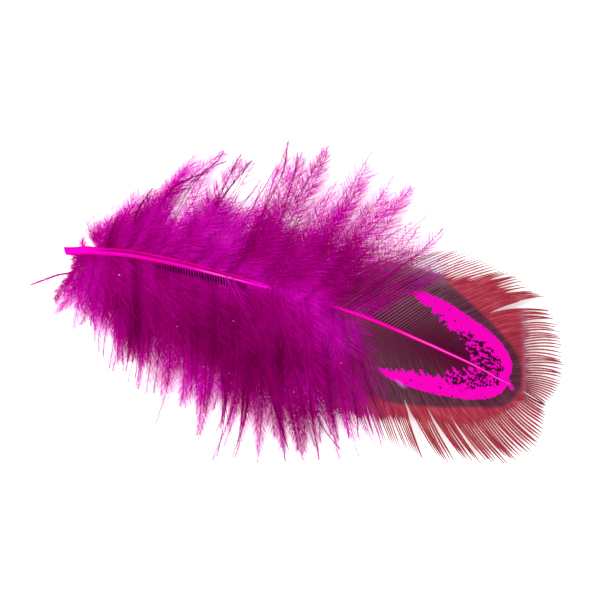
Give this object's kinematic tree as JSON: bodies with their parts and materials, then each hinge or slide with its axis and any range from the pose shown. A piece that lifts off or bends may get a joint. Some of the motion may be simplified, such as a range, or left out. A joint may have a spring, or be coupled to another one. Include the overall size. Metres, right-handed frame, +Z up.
{
  "type": "pheasant feather",
  "caption": "Pheasant body feather dyed magenta, lying flat: cut quill, loose down along the lower shaft, and a banded vane with splits and a frayed rim.",
  "frame": {"origin": "Middle of the underside of the bounding box, on the surface that the down lies on.", "axes": "+X from the quill's cut end towards the vane's tip, +Y across the feather, +Z up out of its upper side."},
  "size_m": [0.0664, 0.0412, 0.004],
  "materials": {
    "down": "matte, soft, lets light through",
    "vane": "matte with a faint sheen",
    "shaft": "smooth, satin keratin"
  },
  "bodies": {
    "root": {"feather": "down"}
  },
  "joints": []
}
